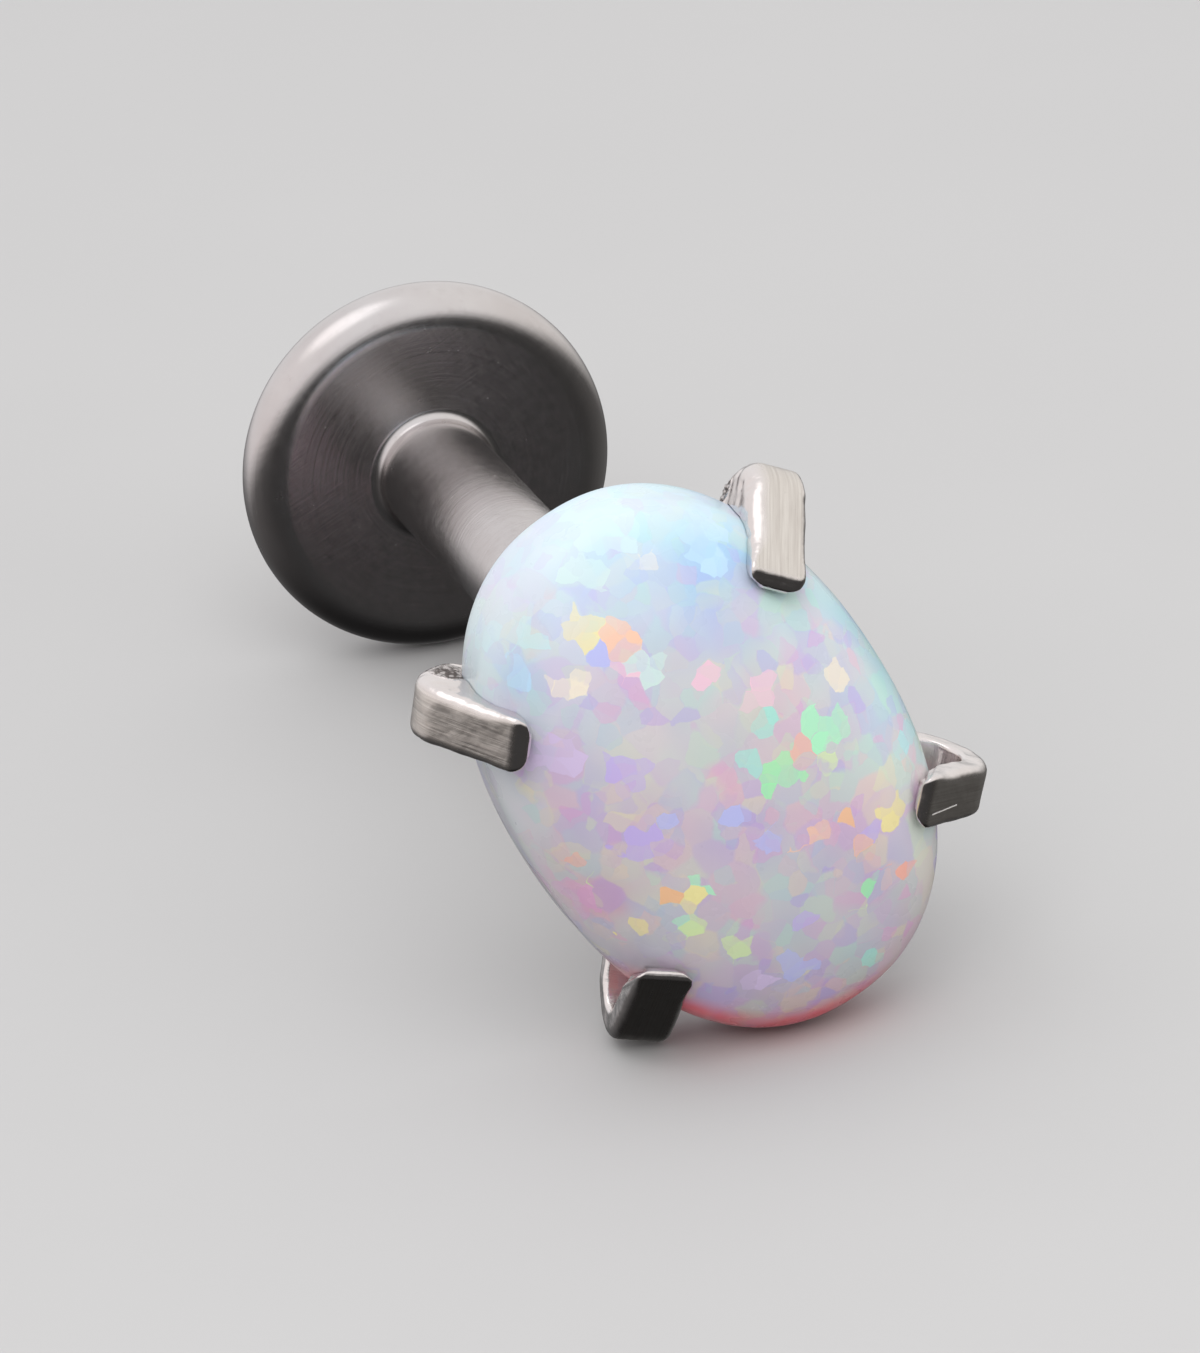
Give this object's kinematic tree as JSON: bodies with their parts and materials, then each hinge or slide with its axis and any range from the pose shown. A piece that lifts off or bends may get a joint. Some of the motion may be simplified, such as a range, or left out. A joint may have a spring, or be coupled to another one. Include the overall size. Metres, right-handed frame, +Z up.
{
  "type": "flat back stud",
  "caption": "Flat back body-piercing stud: a round disc on a plain post, with a claw-set oval white opal at the front end.",
  "frame": {"origin": "on the surface that the stud rests on, under the middle of its bounding box", "axes": "+Z up from the surface; +Y along the stud from the stone towards the disc; -Y the side that the front of the stone faces; the post rises towards the stone by about 5.5 degrees"},
  "size_m": [0.0058, 0.0118, 0.0058],
  "materials": {
    "polished_steel": "high polish, turned and buffed smooth",
    "brushed_steel": "bright, with fine lengthwise file marks on the claws and a little casting grit behind them",
    "opal": "polished milky white opal with flashes of green, blue, lilac, yellow and orange"
  },
  "bodies": {
    "root": {"post_and_disc": "polished_steel", "setting": "brushed_steel", "opal": "opal"}
  },
  "joints": []
}
